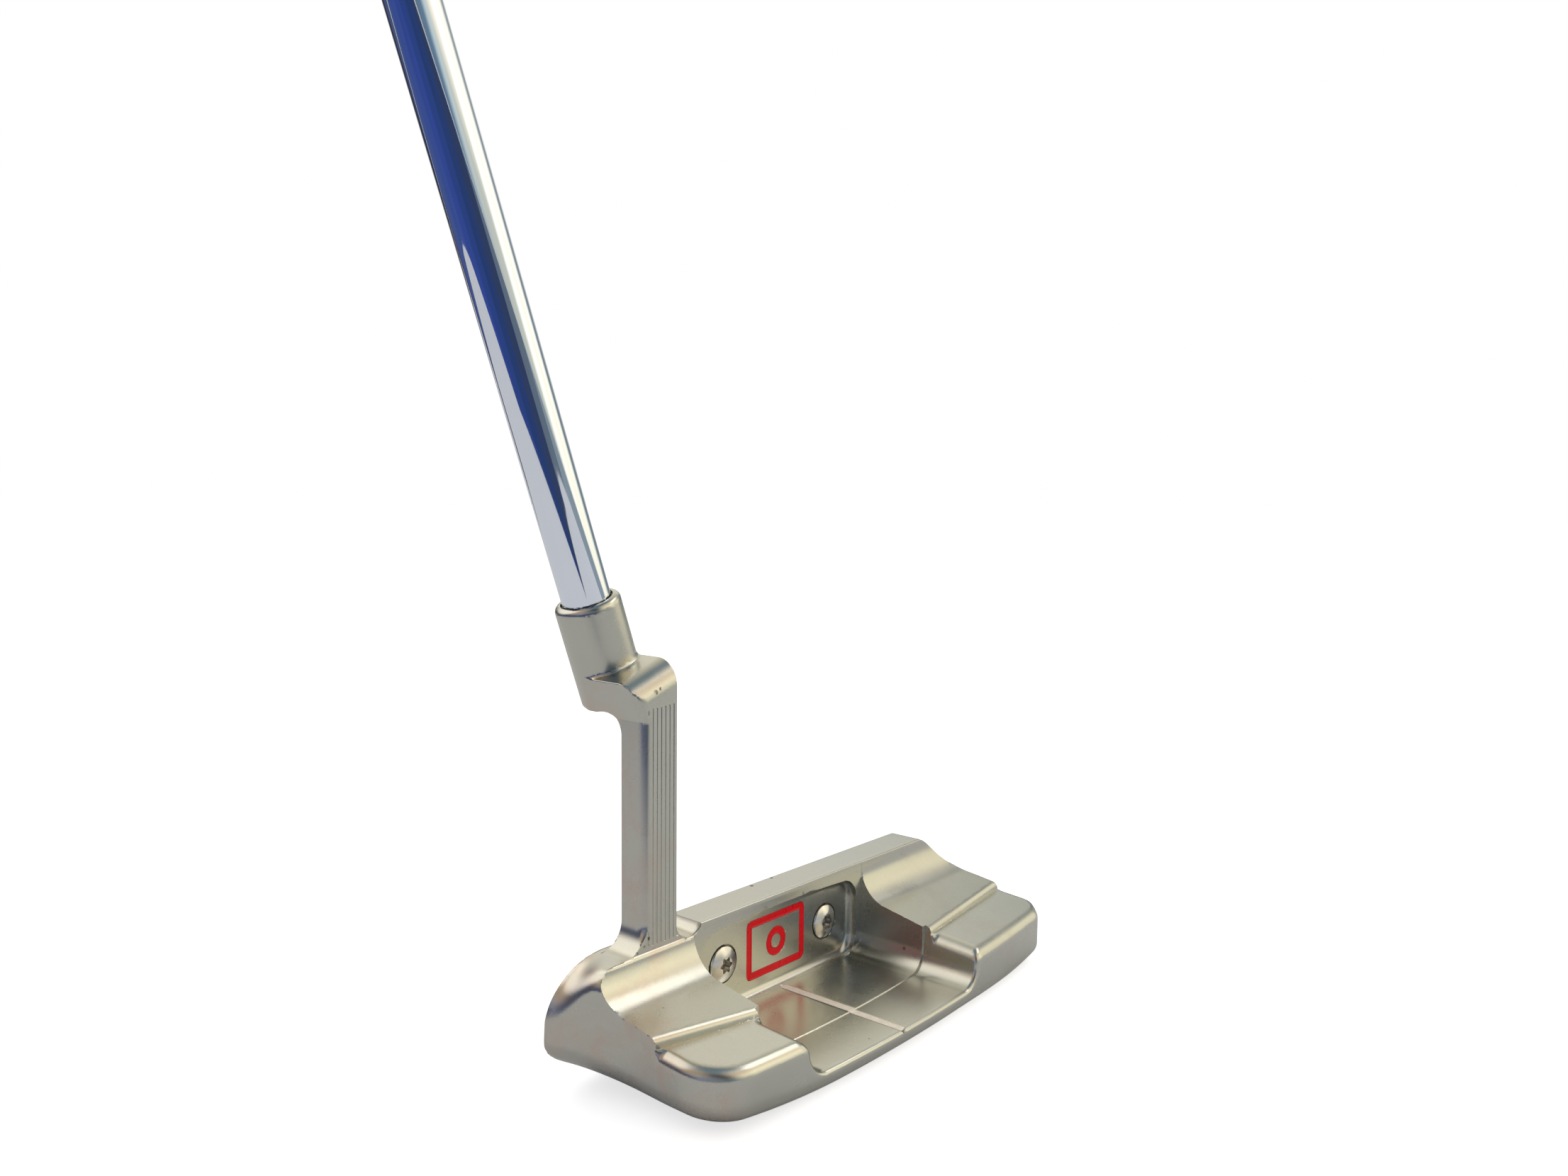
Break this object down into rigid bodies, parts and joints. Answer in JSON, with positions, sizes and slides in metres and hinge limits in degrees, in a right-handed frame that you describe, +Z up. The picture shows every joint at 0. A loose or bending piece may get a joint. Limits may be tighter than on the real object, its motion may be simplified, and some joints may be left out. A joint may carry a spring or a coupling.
{
  "type": "blade putter",
  "caption": "Heel-toe weighted blade putter: milled steel head with a screwed face insert, offset plumber's neck, stepped chrome shaft and pistol rubber grip.",
  "frame": {"origin": "on the flat of the sole, under the sight line and 20 mm behind the top edge of the strike face", "axes": "+X from heel to toe, +Y towards the target, +Z up with the sole resting flat"},
  "size_m": [0.379, 0.0592, 0.8137],
  "materials": {
    "milled_steel": "fine bead-blasted satin stainless steel",
    "insert_metal": "milled face with fine grooves",
    "pad_rubber": "matt elastomer sheet",
    "screw_steel": "polished stainless button head",
    "red_enamel": "gloss red enamel fill",
    "sight_paint": "worn off-white paint fill",
    "epoxy": "dark cured epoxy",
    "plug": "pale moulded plug",
    "shaft_chrome": "bright chrome plate",
    "tape": "crepe paper tape",
    "grip_rubber": "textured black rubber",
    "cap_rubber": "smooth black rubber"
  },
  "bodies": {
    "root": {"head_body": "milled_steel", "face_insert": "insert_metal", "insert_damping_pad": "pad_rubber", "insert_screw_heel": "screw_steel", "insert_screw_toe": "screw_steel", "emblem_frame_enamel": "red_enamel", "emblem_ring_enamel": "red_enamel", "sight_line_paint": "sight_paint", "hosel_epoxy": "epoxy", "shaft_tip_plug": "plug", "shaft": "shaft_chrome", "grip_tape": "tape", "grip_body": "grip_rubber", "grip_end_cap": "cap_rubber"}
  },
  "joints": []
}
